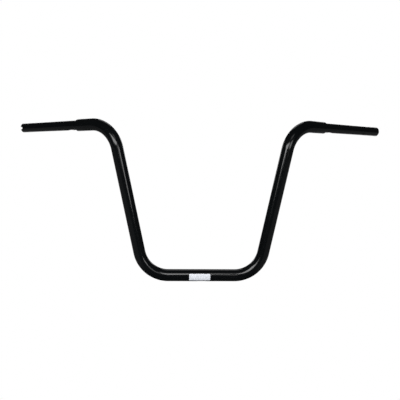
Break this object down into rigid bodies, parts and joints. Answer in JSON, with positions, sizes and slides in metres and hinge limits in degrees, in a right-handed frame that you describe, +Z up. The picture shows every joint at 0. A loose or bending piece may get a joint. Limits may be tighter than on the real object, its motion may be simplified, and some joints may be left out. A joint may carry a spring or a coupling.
{
  "type": "motorcycle handlebar",
  "caption": "Tall motorcycle handlebar: a fat bent steel tube with a straight clamping section, leaning risers, and stepped-down pulled-back control ends.",
  "frame": {"origin": "centre of the straight clamping section, on the tube's axis", "axes": "+X along the clamping section towards the rider's left, +Y towards the rider, +Z up"},
  "size_m": [0.9998, 0.2015, 0.4222],
  "materials": {
    "gloss_black_coat": "gloss black powder coat on steel tube",
    "label_film": "blank satin vinyl film"
  },
  "bodies": {
    "root": {"main_tube": "gloss_black_coat", "throttle_end_tube": "gloss_black_coat", "clutch_end_tube": "gloss_black_coat", "label": "label_film"}
  },
  "joints": []
}
